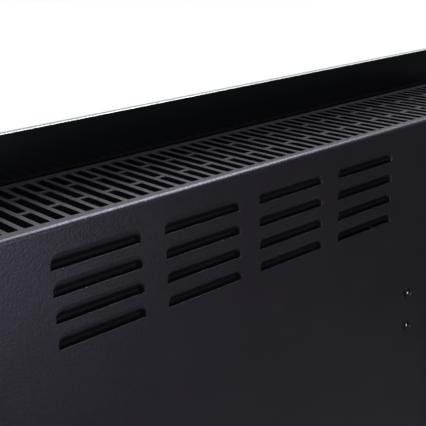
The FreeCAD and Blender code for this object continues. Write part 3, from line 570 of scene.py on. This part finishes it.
def pan_screws(name, spots, across, along, axis):
    """Screws at the given spots, whose heads face along axis.

    Lines u and v cross a square that is drawn out to a disc, to the place (a, b), r radii from its middle. It
    stays square as far as square_until and is round from round_from on. The head is a cap of a ball that
    meets its band at 45 degrees. Its height is band + radius * (root of (2 - r * r) - 1), less a cross with
    sloping walls, whose sizes are in radii. The band then goes straight down, in to the shank and along it
    to the tip.
    """
    radius = 0.0041
    band = 0.0008
    shank = 0.002
    length = 0.009
    half_arm = 0.05
    arm_reach = 0.28
    wall = 0.14
    depth = 0.0007
    square_until, round_from = 0.5, 0.9
    edges = [half_arm, half_arm + wall, arm_reach, arm_reach + wall, 1.0]
    steps = np.interp(np.arange(15), [0, 2, 4, 6, 14], edges)
    lines = np.concatenate([-steps[::-1], [0.0], steps])

    def within(distance, edge):
        """1 up to the edge of the recess's floor, falling to 0 over its sloping wall."""
        return np.clip((edge + wall - np.abs(distance)) / wall, 0, 1)

    u, v = np.meshgrid(lines, lines, indexing="ij")
    reach = np.maximum(np.abs(u), np.abs(v))
    to_disc = np.divide(reach, np.hypot(u, v), out=np.ones_like(u), where=reach > 0)
    share = np.clip((reach - square_until) / (round_from - square_until), 0, 1)
    share = share * share * (3 - 2 * share)
    drawn = 1 + (to_disc - 1) * share
    a = u * drawn
    b = v * drawn
    r = np.minimum(np.hypot(a, b), 1)
    upright = within(a, half_arm) * within(b, arm_reach)
    level = within(b, half_arm) * within(a, arm_reach)
    height = band + radius * (np.sqrt(2 - r * r) - 1) - depth * np.maximum(upright, level)
    head = np.stack([a * radius, b * radius, height], -1).reshape(-1, 3)
    count = len(lines)
    index = np.arange(count * count).reshape(count, count)
    quads = np.stack([index[:-1, :-1], index[1:, :-1], index[1:, 1:], index[:-1, 1:]], -1).reshape(-1, 4)
    rim = np.concatenate([index[:-1, 0], index[-1, :-1], index[:0:-1, -1], index[0, :0:-1]])
    turn = head[rim] / radius
    profile = [(radius, 0), (shank, 0), (shank, length), (0, length + shank / 2)]
    rings = [turn * (width, width, 0) - (0, 0, drop) for width, drop in profile]
    loops = [rim] + [len(head) + len(rim) * k + np.arange(len(rim)) for k in range(len(rings))]
    for outer, inner in zip(loops, loops[1:]):
        strip = np.stack([outer, inner, np.roll(inner, -1), np.roll(outer, -1)], -1)
        quads = np.concatenate([quads, strip])
    screw = np.concatenate([head, *rings]) @ np.array([across, along, axis])
    points = np.concatenate([screw + spot for spot in np.array(spots)])
    faces = np.concatenate([quads + k * len(screw) for k in range(len(spots))])
    mesh = bpy.data.meshes.new(name)
    mesh.from_pydata(points.tolist(), [], faces.tolist())
    mesh.validate()
    mesh.polygons.foreach_set("use_smooth", np.ones(len(mesh.polygons), bool))
    mesh.set_sharp_from_angle(angle=math.radians(35))
    piece = bpy.data.objects.new(name, mesh)
    bpy.context.scene.collection.objects.link(piece)
    return piece


black_zinc = grained(
    "black_zinc",
    dark=(0.055, 0.055, 0.060),
    pale=(0.075, 0.075, 0.080),
    grain=0.0012,
    depth=0.00001,
    rough=(0.10, 0.16),
    metal=1.0,
)
bracket_reach = 0.171
bracket_rise = 0.0168
bracket_half = 0.0142
cap_reach = 0.344
cap_rise = 0.120
plate_places = (-0.3, -0.1, 0.1, 0.3)
plate_depth = 0.098
cross_turn = math.radians(22.7)
X, Y, Z = np.eye(3)
arm_up = math.cos(cross_turn) * Z + math.sin(cross_turn) * X
arm_side = math.cos(cross_turn) * X - math.sin(cross_turn) * Z
four = [(sign, step) for sign in (-1, 1) for step in (-1, 1)]
bracket_spots = [(sign * bracket_reach, case_back, bracket_rise + step * bracket_half) for sign, step in four]
cap_spots = [(sign * cap_reach, case_back, step * cap_rise) for sign, step in four]
plate_spots = [(x, -plate_depth, case_bottom) for x in plate_places]
screw_sets = {
    "bracket_screws": (bracket_spots, arm_up, arm_side, Y),
    "end_cap_screws": (cap_spots, arm_up, arm_side, Y),
    "front_plate_screws": (plate_spots, X, -Y, -Z),
}
for node, placing in screw_sets.items():
    screws = pan_screws(node + "_heads", *placing)
    screws.data.materials.append(black_zinc)
    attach(screws, "heater")
    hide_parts(node)


# Studio: the camera looks down on the back of the heater from close behind it.
# Four softboxes light it, and a pale paper floor fades into a white surround.

tilt = math.radians(71.409)
roll = math.radians(2.169)
heading = math.radians(138.616)
eye = bpy.data.cameras.new("camera")
eye.lens = 71.7
eye.sensor_width = 36.0
camera = bpy.data.objects.new("camera", eye)
camera.location = (0.3495, 0.3511, 0.3135)
camera.rotation_euler = (tilt, roll, heading)
bpy.context.scene.collection.objects.link(camera)
bpy.context.scene.camera = camera


def white_surround():
    """A world that the camera sees as white, with full light from the front and little from behind."""
    world = bpy.data.worlds.new("studio")
    world.use_nodes = True
    tree = world.node_tree
    shader = tree.nodes["Background"]
    direction = tree.nodes.new("ShaderNodeTexCoord")
    path = tree.nodes.new("ShaderNodeLightPath")
    backward = separated(tree, direction.outputs["Generated"])["Y"]
    in_front = between(tree, backward, -0.1, 0.4, 1.0, 0.1)
    strength = computed(tree, "MAXIMUM", path.outputs["Is Camera Ray"], in_front)
    shader.inputs["Color"].default_value = (1, 1, 1, 1)
    feed(tree, strength, shader.inputs["Strength"])
    return world


def softbox(name, place, aim, size, power, spread):
    """Rectangular lamp at place, turned towards aim, with a grid that narrows its beam to spread degrees."""
    light = bpy.data.lights.new(name, "AREA")
    light.shape = "RECTANGLE"
    light.size, light.size_y = size
    light.energy = power
    light.spread = math.radians(spread)
    lamp = bpy.data.objects.new(name, light)
    x, y, z = np.subtract(aim, place)
    lamp.location = place
    lamp.rotation_euler = (math.atan2(math.hypot(x, y), -z), 0, math.atan2(y, x) - math.pi / 2)
    lamp.visible_camera = False
    bpy.context.scene.collection.objects.link(lamp)


def pale_paper(near_edge, far_edge):
    """Paper that fades into plain white: to the camera all round, in reflections only far out in front.

    It bounces less light than its tone to the camera would, so that little comes back on the heater.
    """
    dim = (0.14, 0.14, 0.14)
    pale = (0.75, 0.75, 0.75)
    material, tree, shader = new_material("pale_paper")
    path = tree.nodes.new("ShaderNodeLightPath")
    place = tree.nodes.new("ShaderNodeTexCoord")
    reach = tree.nodes.new("ShaderNodeVectorMath")
    reach.operation = "LENGTH"
    feed(tree, place.outputs["Object"], reach.inputs[0])
    distance = reach.outputs["Value"]
    backward = separated(tree, place.outputs["Object"])["Y"]
    far_share = between(tree, distance, *far_edge, 0.0, 1.0)
    front_share = between(tree, backward, -0.3, 0.3, 1.0, 0.0)
    mirrored = computed(tree, "MULTIPLY", far_share, front_share)
    seen = between(tree, distance, *near_edge, 0.1, 1.0)
    to_camera = computed(tree, "MULTIPLY", path.outputs["Is Camera Ray"], seen)
    bounced = computed(tree, "MAXIMUM", path.outputs["Is Glossy Ray"], path.outputs["Is Transmission Ray"])
    to_gloss = computed(tree, "MULTIPLY", bounced, mirrored)
    feed(tree, blended(tree, path.outputs["Is Camera Ray"], dim, pale), shader.inputs["Base Color"])
    shader.inputs["Roughness"].default_value = 0.9
    shader.inputs["Specular IOR Level"].default_value = 0.1
    white = tree.nodes.new("ShaderNodeEmission")
    fade = tree.nodes.new("ShaderNodeMixShader")
    feed(tree, computed(tree, "MAXIMUM", to_camera, to_gloss), fade.inputs["Fac"])
    feed(tree, shader.outputs["BSDF"], fade.inputs[1])
    feed(tree, white.outputs["Emission"], fade.inputs[2])
    feed(tree, fade.outputs["Shader"], tree.nodes["Material Output"].inputs["Surface"])
    return material


bpy.context.scene.world = white_surround()
softbox(
    "top_softbox",
    place=(-0.52, 0.20, 1.10),
    aim=(0.0, -0.03, 0.15),
    size=(1.2, 0.5),
    power=6.8,
    spread=80,
)
softbox(
    "low_softbox",
    place=(-0.05, 1.00, 0.08),
    aim=(0.0, -0.02, 0.1),
    size=(0.24, 0.5),
    power=1.9,
    spread=120,
)
softbox(
    "side_softbox",
    place=(0.95, 0.9, 0.2),
    aim=(0.0, -0.05, 0.05),
    size=(0.6, 0.6),
    power=0.6,
    spread=120,
)
softbox(
    "back_softbox",
    place=(-0.36, -0.90, 0.66),
    aim=(-0.05, -0.05, 0.17),
    size=(0.65, 0.4),
    power=0.25,
    spread=120,
)

floor_radius = 3.0
floor_sides = 96
floor_gap = 0.0005
floor_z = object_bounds()[0][2] - floor_gap
round_turn = np.linspace(0, 2 * math.pi, floor_sides, endpoint=False)
circle = [floor_radius * np.cos(round_turn), floor_radius * np.sin(round_turn), np.full(floor_sides, floor_z)]
floor_mesh = bpy.data.meshes.new("floor")
floor_mesh.from_pydata(np.stack(circle, -1).tolist(), [], [list(range(floor_sides))])
floor_mesh.materials.append(pale_paper(near_edge=(0.3, 1.0), far_edge=(1.15, 1.65)))
floor = bpy.data.objects.new("floor", floor_mesh)
bpy.context.scene.collection.objects.link(floor)

bpy.context.scene.view_settings.view_transform = "Standard"
